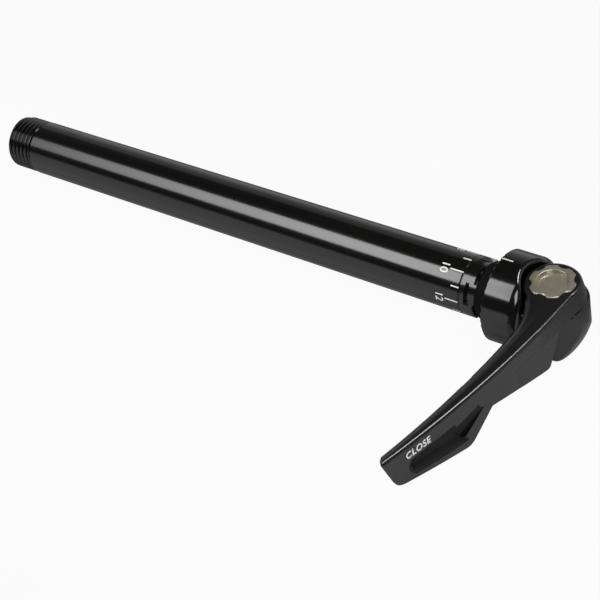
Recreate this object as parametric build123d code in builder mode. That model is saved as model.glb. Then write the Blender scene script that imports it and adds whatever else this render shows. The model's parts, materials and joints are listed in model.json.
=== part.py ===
import os
from math import asin, atan2, cos, degrees, radians, sin, tan

from build123d import *

os.makedirs("parts", exist_ok=True)

# Axle tube: X runs along the axle towards the lever, and places along it are taken from the head's seat
seat_x = 80.0  # the seat, from the middle of the shaft
axle_length = 162.0  # thread end to seat
axle_diameter = 15.0
bore_diameter = 10.0
thread_length = 9.0
thread_root_diameter = 13.2
thread_runout = 0.9
end_chamfer = 0.8
joint_chamfer = 0.25  # edges of the line between tube and crown
web_thickness = 5.0  # inner wall that the lock screw bears on
web_back = 18.0  # seat to the wall's head side

# Index crown: splined into the tube, with four lands outside
crown_back = 8.35  # seat to the line between tube and crown
crown_ring_width = 1.5
land_length = 2.3
land_slot_count = 4
land_slot_angle = 45.0
land_slot_clock = 154.5  # first slot's middle, from the lever's far side over the top
sleeve_diameter = 13.0
sleeve_reach = 2.4  # past the seat, into the head
spline_count = 12
spline_length = 5.0
spline_root_diameter = 10.4
spline_tip_diameter = 12.0
spline_width = 1.5

# Head
head_diameter = 23.0
head_length = 9.65
head_shoulder_radius = 2.5
seat_edge_chamfer = 0.5
tooth_count = 36
tooth_depth = 0.55
tooth_width = 1.1
tooth_inner_diameter = 18.6
spring_step_depth = 4.8  # seat to the step that the spring pushes on
seal_recess_depth = 0.8
seal_recess_diameter = 15.4
seal_length = 5.0
seal_diameter = 14.6
seal_lip = 0.6
pivot_offset = 13.95  # seat to pivot
knuckle_radius = 8.3  # the head's end, round the pivot
dome_end = 22.15  # seat to the tip of the head's domed end
dome_radius = 17.0
knuckle_edge_radius = 1.6
ledge_edge_radius = 0.4
ledge_height = 4.15  # top of the knuckle, above the axle's middle
pocket_gap = 0.55  # round the lever's ear
pocket_rim_radius = 0.8

# Cam pin, its bushes and its clip
lobe_count = 6
lobe_tip_diameter = 11.3
lobe_root_diameter = 9.8
lobe_hollow_radius = 2.2
lobe_corner_radius = 0.5
pin_proud = 0.35  # above the ear
pin_edge_chamfer = 0.2
pin_dish_diameter = 7.7
pin_dish_floor_diameter = 6.7
pin_dish_depth = 0.95
pin_dish_edge_radius = 0.25
eccentric_radius = 2.7
eccentric_throw = 0.75
lower_journal_radius = 1.9
bush_wall = 0.8
flange_thickness = 0.3
flange_overhang = 1.9
clip_recess_radius = 4.2
clip_recess_depth = 3.9  # from the head's under side to the wall that holds the lower bush
clip_washer_thickness = 0.35
clip_thickness = 0.6
clip_radius = 3.7
clip_groove_depth = 0.5
clip_mouth = 2.4
pin_tail = 0.5  # below the clip

# Draw rod and its lock screw
rod_diameter = 6.0
rod_thickness = 4.8  # across the rod's flats, and through its eye
rod_eye_radius = 4.6
rod_collar_diameter = 8.4
rod_collar_length = 2.0
rod_collar_depth = 3.0  # sleeve end to the collar's seat
rod_tail = 0.5  # gap between the rod's end and the inner wall
lock_screw_diameter = 3.0
lock_screw_length = 16.0
lock_head_diameter = 5.5
lock_head_height = 3.0
lock_socket_width = 2.5
lock_socket_depth = 1.5
lock_washer_diameter = 9.2
lock_washer_thickness = 1.0
spring_wire = 0.6
spring_mean_radius = 5.5
spring_turns = 2.0

# Cam lever: s is the distance from the pivot towards the paddle's tip
lever_length = 65.6
lever_top = 9.3
ear_radius = 6.8
ear_bottom = 4.5
ear_flare = 0.2  # the ear widens downwards, per unit of height
flare_s = 25.0  # where the arm's share of the flare ends
ear_edge_radius = 0.9
lever_sweep = 12.0  # the tip's outer edge lies this far back from the ear's
lever_lead = 4.0  # angle at which the outer edge leaves the ear
lead_inset = 0.3  # the outer edge starts this far inside the ear
outer_bulge = 2.0
neck_s = 18.0  # where the neck's curve ends
neck_width = 5.8
neck_leave_angle = 221.0  # where the neck's curve starts on the ear
neck_hollow = 1.2
tip_width = 2.8
tip_edge_chamfer = 0.5
tip_skew = 1.0  # the tip's end runs back towards the axle, per unit of width
inner_bulge = 1.28
inner_edge_radius = 1.8
root_z = -4.1
root_corner_radius = 1.2
root_radius = 9.6  # arm's clearance round the knuckle, at the ear's under side
root_slope = 0.47
waist_s = 33.6
waist_z = 1.0
waist_radius = 0.6
paddle_s = 41.25
paddle_z = -5.2
paddle_corner_radius = 3.0
tip_low_inset = 2.85  # the tip's low end, back from its top
tip_low_z = -0.15
tip_low_radius = 3.6
pocket_depth = 1.7
pocket_draft = 35.0  # lean of the pocket's walls, in degrees
pocket_ramp_depth = 0.4  # at the pocket's point and shoulder
pocket_edge_chamfer = 0.35
pocket_middle_s = 50.0
pocket_point = (35.6, 3.2)  # s and height
pocket_shoulder = (37.2, 4.9)
pocket_low_corner = (41.8, -2.7)
pocket_kink = (45.2, 4.7)
pocket_low_end = (7.3, 0.2)  # distance from the tip, and height
pocket_high_end = (6.3, 4.6)
pocket_end_radius = 1.5

# Fits
spline_clearance = 0.1
slide_clearance = 0.1
seal_clearance = 0.15
rod_clearance = 0.1
journal_clearance = 0.05
lobe_clearance = 0.05
seat_clearance = 0.05
screw_clearance = 0.05
eye_clearance = 0.3
cavity_clearance = 0.3

# Values that follow from the sizes above
axle_radius = axle_diameter / 2
bore_radius = bore_diameter / 2
head_radius = head_diameter / 2
sleeve_radius = sleeve_diameter / 2
upper_journal_radius = eccentric_radius + eccentric_throw + journal_clearance
upper_bush_radius = upper_journal_radius + journal_clearance + bush_wall
lower_bush_radius = lower_journal_radius + journal_clearance + bush_wall
thread_end_x = -axle_length
joint_x = -crown_back
ring_x = joint_x + crown_ring_width
land_x = ring_x + land_length
web_head_x = -web_back
web_far_x = web_head_x - web_thickness
collar_seat_x = sleeve_reach - rod_collar_depth
eye_x = pivot_offset + eccentric_throw
lower_wall_bottom = clip_recess_depth - head_radius
tip_low_s = lever_length - tip_low_inset
cavity_half_height = rod_thickness / 2 + cavity_clearance
spring_height = spring_step_depth - sleeve_reach - spring_wire

# At rest the axle lies on its head, its thread end and the rounded low corner of the lever's paddle
to_waist = Vector(waist_s - paddle_s, waist_z - paddle_z).normalized()
to_tip = Vector(tip_low_s - paddle_s, tip_low_z - paddle_z).normalized()
corner_reach = paddle_corner_radius / sin(radians(to_waist.get_angle(to_tip) / 2))
corner_centre = Vector(paddle_s, paddle_z) + (to_waist + to_tip).normalized() * corner_reach
lie_roll = atan2(corner_centre.Y, corner_centre.X)
lie_roll += asin((head_radius - paddle_corner_radius) / corner_centre.length)

# Work planes: the pivot's axis leans with the axle as it lies
pivot_dir = Vector(0, -sin(lie_roll), cos(lie_roll))
across_dir = Vector(0, cos(lie_roll), sin(lie_roll))
seat_centre = Vector(seat_x, 0, 0)
pivot_centre = Vector(seat_x + pivot_offset, 0, 0)
plan = Plane(origin=seat_centre, x_dir=(1, 0, 0), z_dir=pivot_dir)
side = Plane(origin=seat_centre, x_dir=(1, 0, 0), z_dir=across_dir * -1)
section = Plane(origin=seat_centre, x_dir=across_dir, z_dir=(1, 0, 0))
pivot_plan = Plane(origin=pivot_centre, x_dir=(1, 0, 0), z_dir=pivot_dir)
pivot_side = Plane(origin=pivot_centre, x_dir=(1, 0, 0), z_dir=across_dir * -1)
lever_side = Plane(origin=pivot_centre, x_dir=across_dir * -1, z_dir=(-1, 0, 0))
axle_axis = Axis(seat_centre, (1, 0, 0))
pivot_axis = Axis(pivot_centre, pivot_dir)
lever_axis = Axis(pivot_centre, across_dir * -1)


def lobed_outline(gap):
    """Six rounded lobes round the pivot, with a gap added all round."""
    tip_radius = lobe_tip_diameter / 2 + gap
    hollow_radius = lobe_hollow_radius - gap
    hollow_centre = lobe_root_diameter / 2 + lobe_hollow_radius
    with BuildSketch(mode=Mode.PRIVATE) as outline:
        Circle(tip_radius)
        with PolarLocations(hollow_centre, lobe_count, start_angle=180 / lobe_count):
            Circle(hollow_radius, mode=Mode.SUBTRACT)
        fillet(outline.vertices(), lobe_corner_radius)
    return outline.sketch


def flats(radius, thickness):
    """Round section with two flats, square to the pivot."""
    with BuildSketch(mode=Mode.PRIVATE) as outline:
        Circle(radius)
        Rectangle(2 * radius, thickness, mode=Mode.INTERSECT)
    return outline.sketch


# Axle tube
with BuildPart() as axle_tube:
    thread_root = thread_root_diameter / 2
    thread_x = thread_end_x + thread_length
    screw_hole = lock_screw_diameter / 2 + rod_clearance
    spline_bore = spline_root_diameter / 2 + spline_clearance
    with BuildSketch(side):
        with BuildLine():
            Polyline(
                (thread_end_x, bore_radius + end_chamfer / 2),
                (thread_end_x, thread_root - end_chamfer),
                (thread_end_x + end_chamfer, thread_root),
                (thread_x, thread_root),
                (thread_x + thread_runout, axle_radius),
                (joint_x - joint_chamfer, axle_radius),
                (joint_x, axle_radius - joint_chamfer),
                (joint_x, spline_bore),
                (web_head_x, spline_bore),
                (web_head_x, screw_hole),
                (web_far_x, screw_hole),
                (web_far_x, bore_radius),
                (thread_end_x + end_chamfer / 2, bore_radius),
                close=True,
            )
        make_face()
    revolve(axis=axle_axis)
    with BuildSketch(section.offset(joint_x)):
        groove_tip = spline_tip_diameter / 2 + spline_clearance
        with PolarLocations(groove_tip / 2, spline_count):
            Rectangle(groove_tip, spline_width + 2 * spline_clearance)
    extrude(amount=-(spline_length + 2 * spline_clearance), mode=Mode.SUBTRACT)

axle_tube.part.label = "axle_tube"
export_step(axle_tube.part, "parts/axle_tube.step")

# Index crown
with BuildPart() as index_crown:
    with BuildSketch(side):
        with BuildLine():
            Polyline(
                (joint_x - spline_length, 0),
                (joint_x - spline_length, spline_root_diameter / 2),
                (joint_x, spline_root_diameter / 2),
                (joint_x, axle_radius - joint_chamfer),
                (joint_x + joint_chamfer, axle_radius),
                (land_x - joint_chamfer, axle_radius),
                (land_x, axle_radius - joint_chamfer),
                (land_x, sleeve_radius),
                (sleeve_reach - joint_chamfer, sleeve_radius),
                (sleeve_reach, sleeve_radius - joint_chamfer),
                (sleeve_reach, 0),
                close=True,
            )
        make_face()
    revolve(axis=axle_axis)
    with BuildSketch(section.offset(joint_x)):
        tooth_reach = spline_tip_diameter / 2
        with PolarLocations(tooth_reach / 2, spline_count):
            Rectangle(tooth_reach, spline_width)
    extrude(amount=-spline_length)
    with BuildSketch(section.offset(ring_x)):
        for slot in range(land_slot_count):
            middle = land_slot_clock + slot * 360 / land_slot_count
            with BuildLine():
                slot_arc = CenterArc((0, 0), axle_diameter, middle - land_slot_angle / 2, land_slot_angle)
                Line(slot_arc @ 1, (0, 0))
                Line((0, 0), slot_arc @ 0)
            make_face()
        Circle(sleeve_radius, mode=Mode.SUBTRACT)
    extrude(amount=land_length, mode=Mode.SUBTRACT)
    with BuildSketch(section.offset(joint_x - spline_length)):
        add(flats(rod_diameter / 2 + rod_clearance, rod_thickness + 2 * rod_clearance))
    extrude(amount=axle_length, mode=Mode.SUBTRACT)
    with BuildSketch(section.offset(collar_seat_x)):
        Circle(rod_collar_diameter / 2 + rod_clearance)
    extrude(amount=sleeve_reach - collar_seat_x, mode=Mode.SUBTRACT)

index_crown.part.label = "index_crown"
export_step(index_crown.part, "parts/index_crown.step")

# Draw rod
with BuildPart() as draw_rod:
    rod_end_x = web_head_x + rod_tail
    with BuildSketch(section.offset(rod_end_x)):
        add(flats(rod_diameter / 2, rod_thickness))
    extrude(amount=eye_x - rod_end_x)
    with BuildSketch(section.offset(collar_seat_x)):
        Circle(rod_collar_diameter / 2)
    extrude(amount=rod_collar_length)
    with BuildSketch(plan.offset(-rod_thickness / 2)):
        with Locations((eye_x, 0)):
            Circle(rod_eye_radius)
    extrude(amount=rod_thickness)
    with BuildSketch(plan.offset(-rod_thickness / 2)):
        eye_half_width = eccentric_radius + (eye_clearance + rod_clearance) / 2
        eye_half_length = eccentric_radius + eccentric_throw + rod_clearance
        with Locations((eye_x + (eye_clearance - rod_clearance) / 2, 0)):
            SlotOverall(2 * eye_half_length, 2 * eye_half_width, rotation=90)
    extrude(amount=rod_thickness, mode=Mode.SUBTRACT)
    tapped_radius = lock_screw_diameter / 2 + screw_clearance
    with BuildSketch(section.offset(rod_end_x)):
        Circle(tapped_radius)
    extrude(amount=lock_screw_length, mode=Mode.SUBTRACT)

draw_rod.part.label = "draw_rod"
export_step(draw_rod.part, "parts/draw_rod.step")

# Lock screw and its washer
with BuildPart() as lock_washer:
    with BuildSketch(section.offset(web_far_x)):
        Circle(lock_washer_diameter / 2)
        Circle(lock_screw_diameter / 2 + rod_clearance, mode=Mode.SUBTRACT)
    extrude(amount=-lock_washer_thickness)

lock_washer.part.label = "lock_washer"
export_step(lock_washer.part, "parts/lock_washer.step")

with BuildPart() as lock_screw:
    lock_seat_x = web_far_x - lock_washer_thickness
    with BuildSketch(section.offset(lock_seat_x)):
        Circle(lock_screw_diameter / 2)
    extrude(amount=lock_screw_length)
    with BuildSketch(section.offset(lock_seat_x - lock_head_height)):
        Circle(lock_head_diameter / 2)
    extrude(amount=lock_head_height)
    with BuildSketch(section.offset(lock_seat_x - lock_head_height)):
        RegularPolygon(lock_socket_width / 2, 6, major_radius=False)
    extrude(amount=lock_socket_depth, mode=Mode.SUBTRACT)

lock_screw.part.label = "lock_screw"
export_step(lock_screw.part, "parts/lock_screw.step")

# Return spring
with BuildPart() as return_spring:
    with BuildLine():
        coil = Helix(
            pitch=spring_height / spring_turns,
            height=spring_height,
            radius=spring_mean_radius,
            center=(seat_x + sleeve_reach + spring_wire / 2, 0, 0),
            direction=(1, 0, 0),
        )
    with BuildSketch(Plane(origin=coil @ 0, z_dir=coil % 0)):
        Circle(spring_wire / 2)
    sweep(path=coil, is_frenet=True)

return_spring.part.label = "return_spring"
export_step(return_spring.part, "parts/return_spring.step")

# Clamp head
with BuildPart() as clamp_head:
    knuckle_end = pivot_offset + knuckle_radius
    with BuildSketch(pivot_plan.offset(-head_radius)):
        Circle(knuckle_radius)
        with Locations((-pivot_offset / 2, 0)):
            Rectangle(pivot_offset, 2 * knuckle_radius)
    extrude(amount=head_radius + ledge_height)
    with BuildSketch(side):
        with BuildLine():
            dome_angle = degrees(asin(head_radius / dome_radius))
            dome = CenterArc((dome_end - dome_radius, 0), dome_radius, 0, dome_angle)
            Polyline(dome @ 1, (0, head_radius), (0, 0), dome @ 0)
        make_face()
    revolve(axis=axle_axis, mode=Mode.INTERSECT)
    knuckle_edges = clamp_head.edges().filter_by_position(axle_axis, head_length, 2 * knuckle_end)
    rim_edges = knuckle_edges.filter_by_position(pivot_axis, -head_diameter, ledge_height / 2)
    fillet(rim_edges.filter_by(pivot_axis, reverse=True), knuckle_edge_radius)
    knuckle_edges = clamp_head.edges().filter_by_position(axle_axis, head_length, 2 * knuckle_end)
    fillet(knuckle_edges.group_by(pivot_axis)[-1], ledge_edge_radius)
    with BuildSketch(side):
        with BuildLine():
            FilletPolyline(
                (0, 0),
                (head_length, 0),
                (head_length, head_radius),
                (seat_edge_chamfer, head_radius),
                (0, head_radius - seat_edge_chamfer),
                radius=[0, 0, head_shoulder_radius, 0, 0],
                close=True,
            )
        make_face()
    revolve(axis=axle_axis)
    pocket_foot = ear_radius + pocket_gap + ear_flare * (lever_top - ledge_height)
    pocket_mouth = ear_radius + pocket_gap + ear_flare * (lever_top - head_diameter)
    with BuildSketch(pivot_side):
        with BuildLine():
            Polyline(
                (0, ledge_height),
                (pocket_foot, ledge_height),
                (pocket_mouth, head_diameter),
                (0, head_diameter),
                close=True,
            )
        make_face()
    revolve(axis=pivot_axis, mode=Mode.SUBTRACT)
    pocket_wall = clamp_head.faces().filter_by(GeomType.CONE).sort_by(axle_axis)[-1]
    fillet(pocket_wall.edges().sort_by(pivot_axis)[1:], pocket_rim_radius)
    with BuildSketch(section):
        Circle(sleeve_radius + slide_clearance)
    extrude(amount=spring_step_depth, mode=Mode.SUBTRACT)
    with BuildSketch(section):
        Circle(seal_recess_diameter / 2)
    extrude(amount=seal_recess_depth, mode=Mode.SUBTRACT)
    cavity_radius = rod_eye_radius + cavity_clearance
    with BuildSketch(plan.offset(-cavity_half_height)):
        with Locations((eye_x, 0)):
            Circle(cavity_radius)
        with Locations((eye_x / 2, 0)):
            Rectangle(eye_x, 2 * cavity_radius)
    extrude(amount=2 * cavity_half_height, mode=Mode.SUBTRACT)
    with BuildSketch(pivot_plan):
        Circle(upper_bush_radius)
    extrude(amount=ledge_height, mode=Mode.SUBTRACT)
    with BuildSketch(pivot_plan.offset(lower_wall_bottom)):
        Circle(lower_bush_radius)
    extrude(amount=-lower_wall_bottom, mode=Mode.SUBTRACT)
    with BuildSketch(pivot_plan.offset(-head_diameter)):
        Circle(clip_recess_radius)
    extrude(amount=lower_wall_bottom + head_diameter, mode=Mode.SUBTRACT)
    tooth_reach = (head_diameter - tooth_inner_diameter) / 2
    with BuildSketch(section):
        with PolarLocations((tooth_inner_diameter + tooth_reach) / 2, tooth_count):
            Rectangle(tooth_reach, tooth_width)
    extrude(amount=tooth_depth, mode=Mode.SUBTRACT)

clamp_head.part.label = "clamp_head"
export_step(clamp_head.part, "parts/clamp_head.step")

# Neck seal
with BuildPart() as neck_seal:
    seal_bore = sleeve_radius + seal_clearance
    seal_back_x = seal_recess_depth - seal_length
    with BuildSketch(side):
        with BuildLine():
            Polyline(
                (seal_back_x, seal_bore),
                (seal_back_x, seal_bore + seal_lip / 2),
                (seal_back_x + seal_lip, seal_diameter / 2),
                (seal_recess_depth, seal_diameter / 2),
                (seal_recess_depth, seal_bore),
                close=True,
            )
        make_face()
    revolve(axis=axle_axis)

neck_seal.part.label = "neck_seal"
export_step(neck_seal.part, "parts/neck_seal.step")

# Bushes round the cam pin
with BuildPart() as upper_bush:
    with BuildSketch(pivot_plan.offset(cavity_half_height)):
        Circle(upper_bush_radius)
    extrude(amount=ledge_height - cavity_half_height)
    with BuildSketch(pivot_plan.offset(ledge_height)):
        Circle(upper_bush_radius + flange_overhang)
    extrude(amount=flange_thickness)
    upper_bore = upper_journal_radius + journal_clearance
    with BuildSketch(pivot_plan.offset(cavity_half_height)):
        Circle(upper_bore)
    extrude(amount=ear_bottom - cavity_half_height, mode=Mode.SUBTRACT)

upper_bush.part.label = "upper_bush"
export_step(upper_bush.part, "parts/upper_bush.step")

with BuildPart() as lower_bush:
    with BuildSketch(pivot_plan.offset(lower_wall_bottom)):
        Circle(lower_bush_radius)
        Circle(lower_journal_radius + journal_clearance, mode=Mode.SUBTRACT)
    extrude(amount=-cavity_half_height - lower_wall_bottom)

lower_bush.part.label = "lower_bush"
export_step(lower_bush.part, "parts/lower_bush.step")

# Cam pin
with BuildPart() as cam_pin:
    pin_top = lever_top + pin_proud
    eye_half = rod_thickness / 2
    washer_z = lower_wall_bottom - seat_clearance
    clip_top = washer_z - clip_washer_thickness - seat_clearance
    clip_bottom = clip_top - clip_thickness
    groove_radius = lower_journal_radius - clip_groove_depth
    with BuildSketch(pivot_plan.offset(ear_bottom)):
        add(lobed_outline(0))
    extrude(amount=pin_top - ear_bottom)
    chamfer(cam_pin.edges().group_by(pivot_axis)[-1], pin_edge_chamfer)
    with BuildSketch(pivot_side):
        with BuildLine():
            Polyline(
                (0, pin_top),
                (pin_dish_diameter / 2, pin_top),
                (pin_dish_floor_diameter / 2, pin_top - pin_dish_depth),
                (0, pin_top - pin_dish_depth),
                close=True,
            )
        make_face()
    revolve(axis=pivot_axis, mode=Mode.SUBTRACT)
    top_face = cam_pin.faces().sort_by(pivot_axis)[-1]
    fillet(top_face.inner_wires()[0].edges(), pin_dish_edge_radius)
    with BuildSketch(pivot_plan.offset(eye_half)):
        Circle(upper_journal_radius)
    extrude(amount=ear_bottom - eye_half)
    eccentric_plan = Plane(origin=(seat_x + eye_x, 0, 0), x_dir=(1, 0, 0), z_dir=pivot_dir)
    with BuildSketch(eccentric_plan.offset(-eye_half)):
        Circle(eccentric_radius)
    extrude(amount=2 * eye_half)
    with BuildSketch(pivot_plan.offset(clip_bottom - pin_tail)):
        Circle(lower_journal_radius)
    extrude(amount=-eye_half - (clip_bottom - pin_tail))
    with BuildSketch(pivot_plan.offset(clip_bottom - seat_clearance)):
        Circle(lower_journal_radius + clip_thickness)
        Circle(groove_radius, mode=Mode.SUBTRACT)
    extrude(amount=clip_thickness + 2 * seat_clearance, mode=Mode.SUBTRACT)

cam_pin.part.label = "cam_pin"
export_step(cam_pin.part, "parts/cam_pin.step")

# Washer and clip under the pin
with BuildPart() as clip_washer:
    with BuildSketch(pivot_plan.offset(washer_z)):
        Circle(clip_radius)
        Circle(lower_journal_radius + journal_clearance, mode=Mode.SUBTRACT)
    extrude(amount=-clip_washer_thickness)

clip_washer.part.label = "clip_washer"
export_step(clip_washer.part, "parts/clip_washer.step")

with BuildPart() as pin_clip:
    with BuildSketch(pivot_plan.offset(clip_bottom)):
        Circle(clip_radius)
        Circle(groove_radius + journal_clearance, mode=Mode.SUBTRACT)
        with Locations((clip_radius / 2, 0)):
            Rectangle(clip_radius, clip_mouth, mode=Mode.SUBTRACT)
    extrude(amount=clip_thickness)

pin_clip.part.label = "pin_clip"
export_step(pin_clip.part, "parts/pin_clip.step")

# Cam lever
ear_leave = (ear_radius * cos(radians(neck_leave_angle)), ear_radius * sin(radians(neck_leave_angle)))
root_s = root_radius + root_slope * (ear_bottom - root_z)


def outer_x(s):
    """The arm's outer edge on top, from the ear to the tip."""
    share = s / lever_length
    return ear_radius - lever_sweep * share + 4 * outer_bulge * share * (1 - share)


neck_point = (outer_x(neck_s) - neck_width, -neck_s)
tip_block_s = lever_length + tip_width
tip_block_z = tip_low_z + (tip_low_z - paddle_z) / (tip_low_s - paddle_s) * (tip_block_s - tip_low_s)
tip_block_outer = (outer_x(tip_block_s), -tip_block_s)
tip_block_inner = (outer_x(tip_block_s) - tip_width, -tip_block_s)
tip_top_point = pivot_plan.from_local_coords((outer_x(lever_length), -lever_length, lever_top))
tip_low_point = pivot_plan.from_local_coords((outer_x(tip_low_s), -tip_low_s, tip_low_z))
tip_inward = pivot_plan.from_local_coords((-1, tip_skew)) - pivot_plan.origin
tip_upward = tip_top_point - tip_low_point
tip_plane = Plane(origin=tip_low_point, x_dir=tip_inward, z_dir=tip_upward.cross(tip_inward))
paddle_chord = Vector(outer_x(lever_length) - outer_x(pocket_point[0]), pocket_point[0] - lever_length)
paddle_along = pivot_plan.x_dir * paddle_chord.X + pivot_plan.y_dir * paddle_chord.Y
paddle_plane = Plane(
    origin=pivot_plan.from_local_coords((outer_x(pocket_middle_s), -pocket_middle_s)),
    x_dir=paddle_along,
    z_dir=paddle_along.cross(pivot_dir),
)

with BuildSketch(mode=Mode.PRIVATE) as pocket_outline:
    tip_from_middle = lever_length - pocket_middle_s
    with BuildLine():
        FilletPolyline(
            (pocket_low_corner[0] - pocket_middle_s, pocket_low_corner[1]),
            (tip_from_middle - pocket_low_end[0], pocket_low_end[1]),
            (tip_from_middle - pocket_high_end[0], pocket_high_end[1]),
            (pocket_kink[0] - pocket_middle_s, pocket_kink[1]),
            radius=[0, pocket_end_radius, pocket_end_radius, 0],
            close=True,
        )
    make_face()

with BuildPart() as cam_lever:
    widest_flare = ear_flare * (lever_top - ear_bottom)
    for level, flare in ((lever_top, 0), (ear_bottom, widest_flare), (-head_radius, 0)):
        lead_radius = ear_radius + flare - lead_inset
        outer_start = (lead_radius * cos(radians(lever_lead)), -lead_radius * sin(radians(lever_lead)))
        flare_middle = (outer_x(flare_s / 2) + flare / 2, -flare_s / 2)
        flare_end = (outer_x(flare_s), -flare_s)
        paddle_middle = (outer_x((flare_s + tip_block_s) / 2), -(flare_s + tip_block_s) / 2)
        with BuildSketch(pivot_plan.offset(level)):
            with BuildLine():
                ThreePointArc(outer_start, flare_middle, flare_end)
                ThreePointArc(flare_end, paddle_middle, tip_block_outer)
                Line(tip_block_outer, tip_block_inner)
                SagittaArc(tip_block_inner, neck_point, -inner_bulge)
                SagittaArc(neck_point, ear_leave, -neck_hollow)
                Polyline(ear_leave, (0, 0), outer_start)
            make_face()
    loft(ruled=True)
    split(bisect_by=tip_plane, keep=Keep.BOTTOM)
    top_face = cam_lever.faces().sort_by(pivot_axis)[-1]
    top_arcs = top_face.edges().filter_by(GeomType.CIRCLE).sort_by(Axis.X)
    fillet(top_arcs[2:], ear_edge_radius)
    top_face = cam_lever.faces().sort_by(pivot_axis)[-1]
    top_arcs = top_face.edges().filter_by(GeomType.CIRCLE).sort_by(Axis.X)
    fillet(top_arcs[:2], inner_edge_radius)
    top_face = cam_lever.faces().sort_by(pivot_axis)[-1]
    chamfer(top_face.edges().filter_by(GeomType.LINE).sort_by(lever_axis)[-1], tip_edge_chamfer)
    with BuildSketch(lever_side):
        with BuildLine():
            FilletPolyline(
                (0, lever_top),
                (tip_block_s, lever_top),
                (tip_block_s, tip_block_z),
                (paddle_s, paddle_z),
                (waist_s, waist_z),
                (root_s, root_z),
                (root_radius, ear_bottom),
                (0, ear_bottom),
                radius=[0, 0, 0, paddle_corner_radius, waist_radius, root_corner_radius, 0, 0],
                close=True,
            )
        make_face()
    extrude(amount=lever_length, both=True, mode=Mode.INTERSECT)
    end_face = cam_lever.faces().filter_by(tip_plane)[0]
    fillet(end_face.edges().sort_by(pivot_axis)[0], tip_low_radius)
    with BuildSketch(pivot_side):
        with BuildLine():
            FilletPolyline(
                (0, ear_bottom),
                (ear_radius + widest_flare, ear_bottom),
                (ear_radius, lever_top),
                (0, lever_top),
                radius=[0, 0, ear_edge_radius, 0],
                close=True,
            )
        make_face()
    revolve(axis=pivot_axis)
    with BuildSketch(pivot_plan.offset(ear_bottom)):
        add(lobed_outline(lobe_clearance))
    extrude(amount=lever_top, mode=Mode.SUBTRACT)
    with BuildSketch(paddle_plane):
        add(pocket_outline.sketch)
    extrude(amount=pocket_depth, taper=pocket_draft, mode=Mode.SUBTRACT)
    for side_plane, cut_depth, lean in (
        (paddle_plane.offset(-head_radius), head_radius, 0),
        (paddle_plane, pocket_edge_chamfer, 45),
    ):
        with BuildSketch(side_plane):
            add(pocket_outline.sketch)
            offset(amount=pocket_edge_chamfer, kind=Kind.INTERSECTION)
        extrude(amount=cut_depth, taper=lean, mode=Mode.SUBTRACT)
    floor_inset = pocket_depth * tan(radians(pocket_draft))
    floor_low_corner = (pocket_low_corner[0] + floor_inset, pocket_low_corner[1] + floor_inset)
    floor_kink = (pocket_kink[0] + floor_inset, pocket_kink[1] - floor_inset)
    ramp_point, ramp_shoulder, ramp_low_foot, ramp_high_foot = (
        paddle_plane.from_local_coords((s - pocket_middle_s, height, depth))
        for (s, height), depth in (
            (pocket_point, pocket_ramp_depth),
            (pocket_shoulder, pocket_ramp_depth),
            (floor_low_corner, pocket_depth),
            (floor_kink, pocket_depth),
        )
    )
    for foot_corners in ((ramp_low_foot, ramp_high_foot), (ramp_high_foot, ramp_shoulder)):
        ramp_floor = Face(Wire.make_polygon((ramp_point, *foot_corners)))
        extrude(ramp_floor, amount=head_radius, dir=paddle_plane.z_dir * -1, mode=Mode.SUBTRACT)

cam_lever.part.label = "cam_lever"
export_step(cam_lever.part, "parts/cam_lever.step")
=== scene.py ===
import json
import math

import bmesh
import bpy
from mathutils import Matrix, Quaternion, Vector
from mathutils.bvhtree import BVHTree


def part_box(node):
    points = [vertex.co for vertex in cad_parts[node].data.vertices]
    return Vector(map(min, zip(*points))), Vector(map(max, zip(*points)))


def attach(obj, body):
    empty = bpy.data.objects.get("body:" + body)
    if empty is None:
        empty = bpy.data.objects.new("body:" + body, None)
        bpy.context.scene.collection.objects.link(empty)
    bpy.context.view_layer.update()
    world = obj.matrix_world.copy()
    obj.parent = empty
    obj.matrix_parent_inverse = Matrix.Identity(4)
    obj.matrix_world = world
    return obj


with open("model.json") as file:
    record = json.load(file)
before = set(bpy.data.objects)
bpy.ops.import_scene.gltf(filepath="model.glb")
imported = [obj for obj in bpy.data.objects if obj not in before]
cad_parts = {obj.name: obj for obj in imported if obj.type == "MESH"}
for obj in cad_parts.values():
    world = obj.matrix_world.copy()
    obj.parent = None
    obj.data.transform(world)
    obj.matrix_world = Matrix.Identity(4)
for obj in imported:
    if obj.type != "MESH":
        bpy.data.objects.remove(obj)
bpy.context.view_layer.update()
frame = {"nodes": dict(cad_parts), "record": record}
nodes = frame["nodes"]
mm = 0.001
print("frame loaded with", len(nodes), "nodes")


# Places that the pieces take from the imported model
def findJoint(name):
    return next(joint for joint in frame["record"]["behaviour"]["joints"] if joint["name"] == name)


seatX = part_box("clamp_head")[0][0]
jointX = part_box("axle_tube")[1][0]  # line between tube and crown
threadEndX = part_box("axle_tube")[0][0]
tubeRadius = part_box("axle_tube")[1][2]
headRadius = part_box("clamp_head")[1][1]
pivot = Vector(findJoint("lever_swing")["pos_m"])
pinDir = Vector(findJoint("lever_swing")["axis"]).normalized()
axleDir = Vector((1, 0, 0))
farDir = pinDir.cross(axleDir)  # across the axle, away from the lever


def aroundAxle(x, radius, angle):
    # the angle starts at the side away from the lever and runs over the top
    turned = math.radians(angle)
    return axleDir * x + (farDir * math.cos(turned) + pinDir * math.sin(turned)) * radius


def meshObject(name, bm, smoothAngle=40):
    bmesh.ops.recalc_face_normals(bm, faces=bm.faces)
    mesh = bpy.data.meshes.new(name)
    bm.to_mesh(mesh)
    bm.free()
    mesh.shade_smooth()
    mesh.set_sharp_from_angle(angle=math.radians(smoothAngle))
    obj = bpy.data.objects.new(name, mesh)
    bpy.context.scene.collection.objects.link(obj)
    return obj


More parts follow.
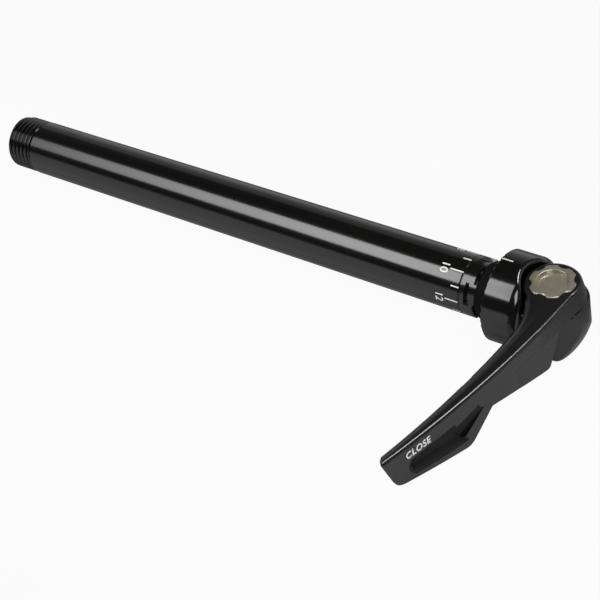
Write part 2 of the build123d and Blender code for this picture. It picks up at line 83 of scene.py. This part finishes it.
# Shader node helpers
def newMaterial(name):
    material = bpy.data.materials.new(name)
    material.use_nodes = True
    tree = material.node_tree
    return material, tree, tree.nodes["Principled BSDF"]


def newGroup(name, inputs, outputs):
    group = bpy.data.node_groups.new(name, "ShaderNodeTree")
    for label, kind, value in inputs:
        socket = group.interface.new_socket(label, in_out="INPUT", socket_type=kind)
        socket.default_value = value
    for label, kind in outputs:
        group.interface.new_socket(label, in_out="OUTPUT", socket_type=kind)
    return group, group.nodes.new("NodeGroupInput"), group.nodes.new("NodeGroupOutput")


def mathNode(tree, operation, first, second):
    node = tree.nodes.new("ShaderNodeMath")
    node.operation = operation
    for socket, value in zip(node.inputs, (first, second)):
        if isinstance(value, (int, float)):
            socket.default_value = value
        else:
            tree.links.new(value, socket)
    return node.outputs[0]


def fadeNode(tree, value, span, levels):
    fade = tree.nodes.new("ShaderNodeMapRange")
    fade.inputs["From Min"].default_value, fade.inputs["From Max"].default_value = span
    fade.inputs["To Min"].default_value, fade.inputs["To Max"].default_value = levels
    tree.links.new(value, fade.inputs["Value"])
    return fade.outputs["Result"]


def buildFineGrain():
    # fine uneven grain: a roughness that drifts a little, and a height for bump
    group, given, result = newGroup(
        "fineGrain",
        [
            ("Grain Size", "NodeSocketFloat", 4000.0),
            ("Patch Size", "NodeSocketFloat", 60.0),
            ("Base Roughness", "NodeSocketFloat", 0.2),
            ("Roughness Drift", "NodeSocketFloat", 0.05),
        ],
        [("Roughness", "NodeSocketFloat"), ("Height", "NodeSocketFloat"), ("Patches", "NodeSocketFloat")],
    )
    links = group.links
    coordinate = group.nodes.new("ShaderNodeTexCoord")
    grain = group.nodes.new("ShaderNodeTexNoise")
    patches = group.nodes.new("ShaderNodeTexNoise")
    patches.inputs["Detail"].default_value = 4
    for noise, label in ((grain, "Grain Size"), (patches, "Patch Size")):
        links.new(coordinate.outputs["Object"], noise.inputs["Vector"])
        links.new(given.outputs[label], noise.inputs["Scale"])
    centred = mathNode(group, "SUBTRACT", patches.outputs["Fac"], 0.5)
    drift = mathNode(group, "MULTIPLY", centred, given.outputs["Roughness Drift"])
    roughness = mathNode(group, "ADD", given.outputs["Base Roughness"], drift)
    links.new(roughness, result.inputs["Roughness"])
    links.new(grain.outputs["Fac"], result.inputs["Height"])
    links.new(patches.outputs["Fac"], result.inputs["Patches"])
    return group


fineGrain = buildFineGrain()


def grainedMaterial(name, look):
    material, tree, shader = newMaterial(name)
    links = tree.links
    grain = tree.nodes.new("ShaderNodeGroup")
    grain.node_tree = fineGrain
    grain.inputs["Grain Size"].default_value = look["grainSize"]
    grain.inputs["Patch Size"].default_value = look["patchSize"]
    grain.inputs["Base Roughness"].default_value = look["roughness"]
    grain.inputs["Roughness Drift"].default_value = look["roughnessDrift"]
    tint = tree.nodes.new("ShaderNodeMix")
    tint.data_type = "RGBA"
    tint.inputs["A"].default_value = (*look["dark"], 1)
    tint.inputs["B"].default_value = (*look["light"], 1)
    links.new(grain.outputs["Patches"], tint.inputs["Factor"])
    links.new(tint.outputs["Result"], shader.inputs["Base Color"])
    links.new(grain.outputs["Roughness"], shader.inputs["Roughness"])
    bump = tree.nodes.new("ShaderNodeBump")
    bump.inputs["Strength"].default_value = look["bump"]
    bump.inputs["Distance"].default_value = look["bumpDepth"]
    links.new(grain.outputs["Height"], bump.inputs["Height"])
    links.new(bump.outputs["Normal"], shader.inputs["Normal"])
    shader.inputs["Metallic"].default_value = look["metallic"]
    shader.inputs["IOR"].default_value = look["ior"]
    return material


finishes = {
    "tubeAnodise": {
        "dark": (0.0030, 0.0027, 0.0024), "light": (0.0048, 0.0044, 0.0040), "metallic": 0, "ior": 1.9,
        "roughness": 0.16, "roughnessDrift": 0.04, "grainSize": 5200, "patchSize": 40,
        "bump": 0.05, "bumpDepth": 0.02 * mm,
    },
    "headAnodise": {
        "dark": (0.0030, 0.0027, 0.0025), "light": (0.0050, 0.0046, 0.0042), "metallic": 0, "ior": 1.9,
        "roughness": 0.14, "roughnessDrift": 0.05, "grainSize": 5200, "patchSize": 90,
        "bump": 0.05, "bumpDepth": 0.02 * mm,
    },
    "leverAnodise": {
        "dark": (0.0015, 0.0014, 0.0013), "light": (0.0030, 0.0028, 0.0026), "metallic": 0, "ior": 1.9,
        "roughness": 0.28, "roughnessDrift": 0.06, "grainSize": 4200, "patchSize": 110,
        "bump": 0.08, "bumpDepth": 0.03 * mm,
    },
    "satinPin": {
        "dark": (0.58, 0.54, 0.43), "light": (0.70, 0.655, 0.53), "metallic": 1, "ior": 1.5,
        "roughness": 0.42, "roughnessDrift": 0.1, "grainSize": 6000, "patchSize": 400,
        "bump": 0.15, "bumpDepth": 0.02 * mm,
    },
    "plainSteel": {
        "dark": (0.40, 0.40, 0.41), "light": (0.58, 0.58, 0.58), "metallic": 1, "ior": 1.5,
        "roughness": 0.3, "roughnessDrift": 0.1, "grainSize": 5000, "patchSize": 300,
        "bump": 0.1, "bumpDepth": 0.02 * mm,
    },
    "sinteredBronze": {
        "dark": (0.32, 0.20, 0.09), "light": (0.50, 0.33, 0.16), "metallic": 1, "ior": 1.5,
        "roughness": 0.45, "roughnessDrift": 0.1, "grainSize": 7000, "patchSize": 600,
        "bump": 0.3, "bumpDepth": 0.03 * mm,
    },
    "sealRubber": {
        "dark": (0.003, 0.003, 0.003), "light": (0.006, 0.006, 0.006), "metallic": 0, "ior": 1.2,
        "roughness": 0.6, "roughnessDrift": 0.1, "grainSize": 3000, "patchSize": 300,
        "bump": 0.3, "bumpDepth": 0.04 * mm,
    },
    "whitePrint": {
        "dark": (0.80, 0.80, 0.79), "light": (0.88, 0.88, 0.87), "metallic": 0, "ior": 1.45,
        "roughness": 0.5, "roughnessDrift": 0.08, "grainSize": 9000, "patchSize": 900,
        "bump": 0.1, "bumpDepth": 0.01 * mm,
    },
}
materials = {name: grainedMaterial(name, look) for name, look in finishes.items()}

nodeFinishes = {
    "axle_tube": "tubeAnodise",
    "index_crown": "tubeAnodise",
    "clamp_head": "headAnodise",
    "cam_lever": "leverAnodise",
    "cam_pin": "satinPin",
    "neck_seal": "sealRubber",
    "upper_bush": "sinteredBronze",
    "lower_bush": "sinteredBronze",
    "draw_rod": "plainSteel",
    "lock_washer": "plainSteel",
    "lock_screw": "plainSteel",
    "return_spring": "plainSteel",
    "clip_washer": "plainSteel",
    "pin_clip": "plainSteel",
}
for node, finish in nodeFinishes.items():
    for slot in nodes[node].material_slots:
        slot.material = materials[finish]
    nodes[node].modifiers.new("evenShading", "WEIGHTED_NORMAL")  # large faces stay flat beside small fillets
print("finishes set on", len(nodeFinishes), "nodes")

# Lever's shading: its top rounds off softly from a ridge towards the axle, but not round the pin,
# and its outer edge keeps an even round, whatever triangles the edge is made of
leverRound = {
    "crownRadius": 2.0 * mm,
    "crownWidth": 0.45 * mm,  # from the ridge, and then the slope stays the same
    "crownStart": 6 * mm,  # from the pivot along the lever
    "crownFull": 22 * mm,
    "ridgeAtPivot": 3.2 * mm,  # from the pivot along the axle
    "ridgeSlope": 0.015,
    "edgeAtPivot": 6.8 * mm,
    "edgeSlope": 0.061,
    "bow": 1.86,
    "edgeRadius": 0.9 * mm,
    "edgeSpan": (16 * mm, 64.3 * mm),
    "top": 9.3 * mm,  # above the axle's middle, along the pin
    "sideFoot": 5.1 * mm,
}


def vectorNode(tree, operation, first, second):
    node = tree.nodes.new("ShaderNodeVectorMath")
    node.operation = operation
    for socket, value in zip(node.inputs, (first, second)):
        if isinstance(value, bpy.types.NodeSocket):
            tree.links.new(value, socket)
        else:
            socket.default_value = value
    return node


def dotNode(tree, vector, direction):
    return vectorNode(tree, "DOT_PRODUCT", vector, direction).outputs["Value"]


def scaleNode(tree, direction, amount):
    node = vectorNode(tree, "SCALE", direction, (0, 0, 0))
    tree.links.new(amount, node.inputs["Scale"])
    return node.outputs["Vector"]


def leverPlace(tree):
    # where a point lies along the axle, along the lever and along the pin
    place = tree.nodes.new("ShaderNodeTexCoord").outputs["Object"]
    return [dotNode(tree, place, direction) for direction in (axleDir, -farDir, pinDir)]


def maskNode(tree, tests):
    # 1 where every test holds
    mask = 1
    for operation, value, limit in tests:
        mask = mathNode(tree, "MULTIPLY", mathNode(tree, operation, value, limit), mask)
    return mask


def sweptNode(tree, across, along, start, slope, bow):
    # distance along the axle from a line that starts beside the pivot and sweeps inwards
    growth = mathNode(tree, "ADD", mathNode(tree, "MULTIPLY", along, bow), slope)
    fromStart = mathNode(tree, "SUBTRACT", across, pivot.x + start)
    return mathNode(tree, "ADD", fromStart, mathNode(tree, "MULTIPLY", growth, along))


def crownNormal(tree, look, across, along):
    fromRidge = sweptNode(tree, across, along, look["ridgeAtPivot"], look["ridgeSlope"], look["bow"])
    inside = mathNode(tree, "MINIMUM", fromRidge, 0)  # flat from the ridge to the outer edge
    curved = mathNode(tree, "MAXIMUM", inside, -look["crownWidth"])
    reach = mathNode(tree, "SUBTRACT", inside, mathNode(tree, "MULTIPLY", curved, 0.5))
    sag = mathNode(tree, "MULTIPLY", mathNode(tree, "MULTIPLY", curved, reach), -1 / look["crownRadius"])
    share = tree.nodes.new("ShaderNodeMapRange")
    share.interpolation_type = "SMOOTHSTEP"
    share.inputs["From Min"].default_value = look["crownStart"]
    share.inputs["From Max"].default_value = look["crownFull"]
    tree.links.new(along, share.inputs["Value"])
    crown = tree.nodes.new("ShaderNodeBump")
    crown.inputs["Distance"].default_value = 1
    tree.links.new(mathNode(tree, "MULTIPLY", sag, share.outputs["Result"]), crown.inputs["Height"])
    return crown.outputs["Normal"]


def edgeNormal(tree, look, across, along, height):
    # the edge's own round, and how far a point lies on it
    radius = look["edgeRadius"]
    least = radius / 100  # keeps the normal's length above nothing
    fromEdge = sweptNode(tree, across, along, look["edgeAtPivot"], look["edgeSlope"], look["bow"])
    outward = mathNode(tree, "MAXIMUM", mathNode(tree, "ADD", fromEdge, radius), least)
    upward = mathNode(tree, "MAXIMUM", mathNode(tree, "SUBTRACT", height, look["top"] - radius), 0)
    turn = mathNode(tree, "ADD", mathNode(tree, "MULTIPLY", along, 2 * look["bow"]), look["edgeSlope"])
    sideways = mathNode(tree, "MULTIPLY", outward, turn)
    side = vectorNode(tree, "ADD", scaleNode(tree, axleDir, outward), scaleNode(tree, -farDir, sideways))
    whole = vectorNode(tree, "ADD", side.outputs["Vector"], scaleNode(tree, pinDir, upward))
    turned = tree.nodes.new("ShaderNodeVectorTransform")
    turned.vector_type = "NORMAL"
    turned.convert_from = "OBJECT"
    turned.convert_to = "WORLD"
    tree.links.new(whole.outputs["Vector"], turned.inputs["Vector"])
    start, end = look["edgeSpan"]
    share = maskNode(
        tree,
        (
            ("GREATER_THAN", along, start),
            ("LESS_THAN", along, end),
            ("GREATER_THAN", height, look["sideFoot"]),
            ("GREATER_THAN", outward, 2 * least),
        ),
    )
    return turned.outputs["Vector"], share


def roundLever(material, look):
    tree = material.node_tree
    across, along, height = leverPlace(tree)
    edge, share = edgeNormal(tree, look, across, along, height)
    normals = tree.nodes.new("ShaderNodeMix")
    normals.data_type = "VECTOR"
    tree.links.new(share, normals.inputs["Factor"])
    tree.links.new(crownNormal(tree, look, across, along), normals.inputs["A"])
    tree.links.new(edge, normals.inputs["B"])
    tree.links.new(normals.outputs["Result"], tree.nodes["Bump"].inputs["Normal"])


roundLever(materials["leverAnodise"], leverRound)
print("lever's top and outer edge rounded")

# Lever's pocket: its bottom and walls are blasted matt
pocketMatt = {
    "span": (35 * mm, 63 * mm),  # from the pivot along the lever
    "top": 5.05 * mm,  # above the axle's middle, along the pin
    "depths": (0.15 * mm, 3 * mm),  # behind the lever's outer side
    "facing": 0.2,
    "added": 0.7,
}


def mattPocket(material, look, edge):
    tree = material.node_tree
    across, along, height = leverPlace(tree)
    fromEdge = sweptNode(tree, across, along, edge["edgeAtPivot"], edge["edgeSlope"], edge["bow"])
    geometry = tree.nodes.new("ShaderNodeNewGeometry")
    ownNormal = tree.nodes.new("ShaderNodeVectorTransform")
    ownNormal.vector_type = "NORMAL"
    ownNormal.convert_from = "WORLD"
    ownNormal.convert_to = "OBJECT"
    tree.links.new(geometry.outputs["True Normal"], ownNormal.inputs["Vector"])
    outward = dotNode(tree, ownNormal.outputs["Vector"], axleDir)
    tests = (
        ("GREATER_THAN", along, look["span"][0]),
        ("LESS_THAN", along, look["span"][1]),
        ("LESS_THAN", height, look["top"]),
        ("LESS_THAN", fromEdge, -look["depths"][0]),
        ("GREATER_THAN", fromEdge, -look["depths"][1]),
        ("GREATER_THAN", outward, look["facing"]),
    )
    added = mathNode(tree, "MULTIPLY", maskNode(tree, tests), look["added"])
    shader = tree.nodes["Principled BSDF"]
    base = shader.inputs["Roughness"].links[0].from_socket
    tree.links.new(mathNode(tree, "ADD", base, added), shader.inputs["Roughness"])


mattPocket(materials["leverAnodise"], pocketMatt, leverRound)
print("lever's pocket blasted")


# Thread ridge: one helix round the thread's core
thread = {
    "pitch": 1.5 * mm,
    "turns": 5.78,
    "start": 0.3 * mm,  # from the end of the axle
    "core": 6.56 * mm,
    "crest": 7.44 * mm,
    "crestWidth": 0.3 * mm,
    "footWidth": 1.25 * mm,
    "fadeTurns": 0.25,
    "leastRise": 0.02,  # share of the ridge's height at its two ends
    "stepsPerTurn": 90,
}


def threadRidge(size):
    bm = bmesh.new()
    steps = round(size["turns"] * size["stepsPerTurn"])
    rings = []
    for step in range(steps + 1):
        turn = step / size["stepsPerTurn"]
        fade = min(1, turn / size["fadeTurns"], (size["turns"] - turn) / size["fadeTurns"])
        crest = size["core"] + (size["crest"] - size["core"]) * max(fade, size["leastRise"])
        x = threadEndX + size["start"] + size["footWidth"] / 2 + size["pitch"] * turn
        corners = (
            (-size["footWidth"] / 2, size["core"]),
            (-size["crestWidth"] / 2, crest),
            (size["crestWidth"] / 2, crest),
            (size["footWidth"] / 2, size["core"]),
        )
        rings.append([bm.verts.new(aroundAxle(x + dx, radius, turn * 360)) for dx, radius in corners])
    for ring, following in zip(rings, rings[1:]):
        for corner in range(4):
            beside = (corner + 1) % 4
            bm.faces.new((ring[corner], ring[beside], following[beside], following[corner]))
    bm.faces.new(rings[0])
    bm.faces.new(rings[-1])
    return meshObject("threadRidge", bm, 30)


ridge = threadRidge(thread)
ridge.data.materials.append(materials["tubeAnodise"])
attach(ridge, "axle")
print("thread ridge:", len(ridge.data.polygons), "faces")


# Printed marks: thin plates of paint, laid on the surface that carries them
def surfaceTree(node):
    mesh = nodes[node].data
    points = [vertex.co.copy() for vertex in mesh.vertices]
    faces = [tuple(polygon.vertices) for polygon in mesh.polygons]
    return BVHTree.FromPolygons(points, faces)


def layOn(tree, start, direction, lift):
    hit = tree.ray_cast(start, direction)[0]
    return hit - direction * lift


capitalShare = 0.729  # height of the capitals in the font's size


def glyphMesh(words, height, weight, spacing=1):
    curve = bpy.data.curves.new("glyphs", "FONT")
    curve.body = words
    curve.space_character = spacing
    curve.size = height / capitalShare
    curve.offset = weight
    curve.align_x = "CENTER"
    curve.fill_mode = "FRONT"
    glyphs = bpy.data.objects.new("glyphs", curve)
    bpy.context.scene.collection.objects.link(glyphs)
    mesh = bpy.data.meshes.new_from_object(glyphs.evaluated_get(bpy.context.evaluated_depsgraph_get()))
    bm = bmesh.new()
    bm.from_mesh(mesh)
    bpy.data.objects.remove(glyphs)
    bpy.data.curves.remove(curve)
    bpy.data.meshes.remove(mesh)
    return bm


def barMesh(length, width):
    bm = bmesh.new()
    corners = ((-0.5, -0.5), (0.5, -0.5), (0.5, 0.5), (-0.5, 0.5))
    bm.faces.new([bm.verts.new((x * length, y * width, 0)) for x, y in corners])
    return bm


def cutFine(bm, cell):
    # slices the flat outline so that it can follow a curved surface
    for axis in range(2):
        low = min(vertex.co[axis] for vertex in bm.verts)
        high = max(vertex.co[axis] for vertex in bm.verts)
        for count in range(1, math.ceil((high - low) / cell)):
            place = [0, 0, 0]
            normal = [0, 0, 0]
            place[axis] = low + count * cell
            normal[axis] = 1
            geometry = bm.verts[:] + bm.edges[:] + bm.faces[:]
            bmesh.ops.bisect_plane(bm, geom=geometry, plane_co=place, plane_no=normal)


def printOn(name, flat, placeAt, film, cell, body):
    # placeAt(x, y, lift) gives the point on the part for a point of the flat outline
    bmesh.ops.remove_doubles(flat, verts=flat.verts, dist=1e-6)
    cutFine(flat, cell)
    top = bmesh.ops.extrude_face_region(flat, geom=flat.faces[:])
    topVerts = {item for item in top["geom"] if isinstance(item, bmesh.types.BMVert)}
    for vertex in flat.verts:
        lift = film if vertex in topVerts else -film
        vertex.co = placeAt(vertex.co.x, vertex.co.y, lift)
    plate = meshObject(name, flat, 50)
    plate.data.materials.append(materials["whitePrint"])
    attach(plate, body)
    return plate


scale = {
    "count": 12,
    "firstNumber": 9,
    "firstAngle": 86.0,  # of that number's mark
    "step": 30.0,
    "markGap": 0.05 * mm,  # line between tube and crown to the marks
    "shortMark": 2.2 * mm,
    "longMark": 3.65 * mm,
    "markWidth": 0.34 * mm,
    "numberGap": 4.05 * mm,  # line between tube and crown to the numbers' near side
    "numberHeight": 2.2 * mm,
    "weight": 0.03 * mm,
    "film": 0.02 * mm,
    "cell": 0.4 * mm,
}


def scaleMarks(look):
    for mark in range(look["count"]):
        number = (mark + look["firstNumber"] - 1) % look["count"] + 1
        angle = look["firstAngle"] + look["step"] * mark
        length = look["shortMark"] if number % 2 else look["longMark"]
        markMiddle = jointX - look["markGap"] - length / 2

        def markPlace(x, y, lift):
            return aroundAxle(markMiddle + x, tubeRadius + lift, angle + math.degrees(y / tubeRadius))

        bar = barMesh(length, look["markWidth"])
        printOn(f"scaleMark{number}", bar, markPlace, look["film"], look["cell"], "axle")
        if number % 2:
            continue
        numberBase = jointX - look["numberGap"] - look["numberHeight"]

        def numberPlace(x, y, lift):
            return aroundAxle(numberBase + y, tubeRadius + lift, angle + math.degrees(x / tubeRadius))

        glyphs = glyphMesh(str(number), look["numberHeight"], look["weight"])
        printOn(f"scaleNumber{number}", glyphs, numberPlace, look["film"], look["cell"], "axle")


scaleMarks(scale)
print("scale printed on the tube")

indexMark = {
    "angle": 88.0,
    "start": 0.55 * mm,
    "length": 3.0 * mm,
    "width": 0.34 * mm,
    "film": 0.02 * mm,
    "cell": 0.3 * mm,
}


def headIndex(look):
    tree = surfaceTree("clamp_head")

    def indexPlace(x, y, lift):
        angle = look["angle"] + math.degrees(y / headRadius)
        outward = aroundAxle(0, 1, angle)
        start = aroundAxle(seatX + look["start"] + look["length"] / 2 + x, 2 * headRadius, angle)
        return layOn(tree, start, -outward, lift)

    bar = barMesh(look["length"], look["width"])
    return printOn("headIndex", bar, indexPlace, look["film"], look["cell"], "head")


headIndex(indexMark)

closeWord = {
    "middle": 55.6 * mm,  # from the pivot along the lever
    "base": 5.75 * mm,  # above the axle's middle, along the pin
    "height": 2.0 * mm,
    "weight": 0.07 * mm,
    "spacing": 1.12,
    "spread": 0.78,
    "film": 0.02 * mm,
    "cell": 0.5 * mm,
}


def closePrint(look):
    tree = surfaceTree("cam_lever")

    def closePlace(x, y, lift):
        along = look["middle"] - x * look["spread"]
        start = pivot - farDir * along + pinDir * (look["base"] + y) + axleDir * headRadius * 4
        return layOn(tree, start, -axleDir, lift)

    glyphs = glyphMesh("CLOSE", look["height"], look["weight"], look["spacing"])
    return printOn("closeWord", glyphs, closePlace, look["film"], look["cell"], "lever")


closePrint(closeWord)
print("index line and word printed")


# Floor: the axle lies on its head and on its thread end, so the floor leans a little
floorLook = {
    "size": 1.6,
    "white": 0.42,
    "paintedLightFrontEdge": (-0.15, -0.1),  # across the axle, where the painted light in the floor's colour begins
    "paintedShadeBackEdge": (-0.01, 0.03),  # where it drops to the painted shadow behind the axle
    "paintedShadeBehind": 0.48,
    "cameraGlow": 0.95,
    "mirrorGlow": 0.03,
}


def layFloor(look):
    headFoot = Vector((seatX, 0, -headRadius))
    endFoot = Vector((threadEndX, 0, -thread["crest"]))
    slope = (headFoot - endFoot).normalized()
    across = Vector((0, 1, 0))
    half = look["size"] / 2
    bm = bmesh.new()
    corners = ((-half, -half), (half, -half), (half, half), (-half, half))
    bm.faces.new([bm.verts.new(headFoot + slope * along + across * aside) for along, aside in corners])
    floor = meshObject("floor", bm)
    material, tree, shader = newMaterial("floorWhite")
    links = tree.links
    place = tree.nodes.new("ShaderNodeNewGeometry")
    split = tree.nodes.new("ShaderNodeSeparateXYZ")
    links.new(place.outputs["Position"], split.inputs["Vector"])
    # Painted light and shade in the floor's colour: dark far in front where the painted light ends, full in
    # front of the axle, and darker behind it as a painted shadow of the axle
    front = fadeNode(tree, split.outputs["Y"], look["paintedLightFrontEdge"], (0, look["white"]))
    behind = fadeNode(tree, split.outputs["Y"], look["paintedShadeBackEdge"], (1, look["paintedShadeBehind"]))
    links.new(mathNode(tree, "MULTIPLY", front, behind), shader.inputs["Base Color"])
    shader.inputs["Roughness"].default_value = 1
    shader.inputs["Specular IOR Level"].default_value = 0
    glow = tree.nodes.new("ShaderNodeEmission")
    glow.inputs["Strength"].default_value = 1
    path = tree.nodes.new("ShaderNodeLightPath")
    mirrored = mathNode(tree, "MAXIMUM", path.outputs["Is Glossy Ray"], path.outputs["Is Transmission Ray"])
    mirrorShare = mathNode(tree, "MULTIPLY", mirrored, look["mirrorGlow"])
    cameraShare = mathNode(tree, "MULTIPLY", path.outputs["Is Camera Ray"], look["cameraGlow"])
    mix = tree.nodes.new("ShaderNodeMixShader")
    links.new(mathNode(tree, "MAXIMUM", cameraShare, mirrorShare), mix.inputs["Fac"])
    links.new(shader.outputs["BSDF"], mix.inputs[1])
    links.new(glow.outputs["Emission"], mix.inputs[2])
    links.new(mix.outputs["Shader"], tree.nodes["Material Output"].inputs["Surface"])
    floor.data.materials.append(material)
    return floor


layFloor(floorLook)

# World: white to the camera, and to the rest a dark studio with a pale back wall
worldLook = {
    "seen": 1.0,
    "dark": 0.02,
    "backWall": 0.54,
    "backHeights": (0.05, 0.78),  # where the wall starts to darken and where it ends, as a direction's Z
    "backTurns": (0.0, 0.5),  # and where it begins, as a direction's Y
}


def lightStudio(look):
    world = bpy.data.worlds.new("studio")
    bpy.context.scene.world = world
    world.use_nodes = True
    tree = world.node_tree
    links = tree.links
    coordinate = tree.nodes.new("ShaderNodeTexCoord")
    split = tree.nodes.new("ShaderNodeSeparateXYZ")
    links.new(coordinate.outputs["Generated"], split.inputs["Vector"])
    height = fadeNode(tree, split.outputs["Z"], look["backHeights"], (look["backWall"], 0))
    turned = fadeNode(tree, split.outputs["Y"], look["backTurns"], (0, 1))
    walls = mathNode(tree, "ADD", mathNode(tree, "MULTIPLY", height, turned), look["dark"])
    path = tree.nodes.new("ShaderNodeLightPath")
    strength = tree.nodes.new("ShaderNodeMix")
    links.new(path.outputs["Is Camera Ray"], strength.inputs["Factor"])
    links.new(walls, strength.inputs["A"])
    strength.inputs["B"].default_value = look["seen"]
    background = tree.nodes["Background"]
    background.inputs["Color"].default_value = (1, 1, 1, 1)
    links.new(strength.outputs["Result"], background.inputs["Strength"])


lightStudio(worldLook)

# Softboxes: each end is a place along the axle and an angle round it, like the scale's
lampReach = 1.2
softboxes = {
    "mainStrip": {
        "start": (-1.4, 124.5), "end": (-0.44, 124.5), "width": 0.85, "radiance": 3.75, "fadeStart": 0.76,
    },
    "rightBox": {"start": (0.45, 119), "end": (1.5, 146), "width": 0.35, "radiance": 3.6},
    "edgeLight": {"start": (0.1, 67), "end": (0.55, 70.4), "width": 0.32, "radiance": 11.0},
    "fill": {"start": (0.2, 140), "end": (1.6, 140), "width": 1.1, "radiance": 3.5, "mirrored": False},
}


def hangSoftboxes(boxes):
    for name, box in boxes.items():
        start, end = (aroundAxle(x, lampReach, angle) for x, angle in (box["start"], box["end"]))
        along = (end - start).normalized()
        middle = (start + end) / 2
        back = (middle - along * middle.dot(along)).normalized()
        lamp = bpy.data.lights.new(name, "AREA")
        lamp.shape = "RECTANGLE"
        lamp.size = (end - start).length
        lamp.size_y = box["width"]
        lamp.energy = box["radiance"] * math.pi * lamp.size * lamp.size_y
        if "fadeStart" in box:
            fadeLamp(lamp, box["fadeStart"])
        obj = bpy.data.objects.new(name, lamp)
        obj.visible_glossy = box.get("mirrored", True)
        turn = Matrix((along, back.cross(along), back)).transposed().to_4x4()
        obj.matrix_world = Matrix.Translation(middle) @ turn
        bpy.context.scene.collection.objects.link(obj)


def fadeLamp(lamp, start):
    # full at the axle's head end, then falling towards the far end
    lamp.use_nodes = True
    tree = lamp.node_tree
    geometry = tree.nodes.new("ShaderNodeNewGeometry")
    across = tree.nodes.new("ShaderNodeSeparateXYZ")
    tree.links.new(geometry.outputs["Parametric"], across.inputs["Vector"])
    fade = fadeNode(tree, across.outputs["X"], (0, start), (0, 1))
    tree.links.new(fade, tree.nodes["Emission"].inputs["Strength"])


hangSoftboxes(softboxes)
print("floor, world and", len(softboxes), "softboxes set")

# Camera: the viewing angle of the photograph
cameraLook = {
    "aim": (38.33 * mm, -26.15 * mm, 0.0),
    "azimuth": -39.646,
    "elevation": 34.657,
    "roll": -5.899,
    "distance": 382.2 * mm,
    "focalPixels": 1570,
    "imageWidth": 600,
}


def placeCamera(look):
    data = bpy.data.cameras.new("camera")
    data.sensor_width = 36
    data.lens = data.sensor_width * look["focalPixels"] / look["imageWidth"]
    data.clip_start = 0.01
    data.clip_end = 20
    camera = bpy.data.objects.new("camera", data)
    azimuth = math.radians(look["azimuth"])
    elevation = math.radians(look["elevation"])
    flat = math.cos(elevation)
    ahead = Vector((math.sin(azimuth) * flat, math.cos(azimuth) * flat, -math.sin(elevation)))
    camera.location = Vector(look["aim"]) - ahead * look["distance"]
    turn = ahead.to_track_quat("-Z", "Y") @ Quaternion((0, 0, 1), math.radians(look["roll"]))
    camera.rotation_euler = turn.to_euler()
    bpy.context.scene.collection.objects.link(camera)
    bpy.context.scene.camera = camera


placeCamera(cameraLook)
bpy.context.scene.view_settings.view_transform = "Standard"
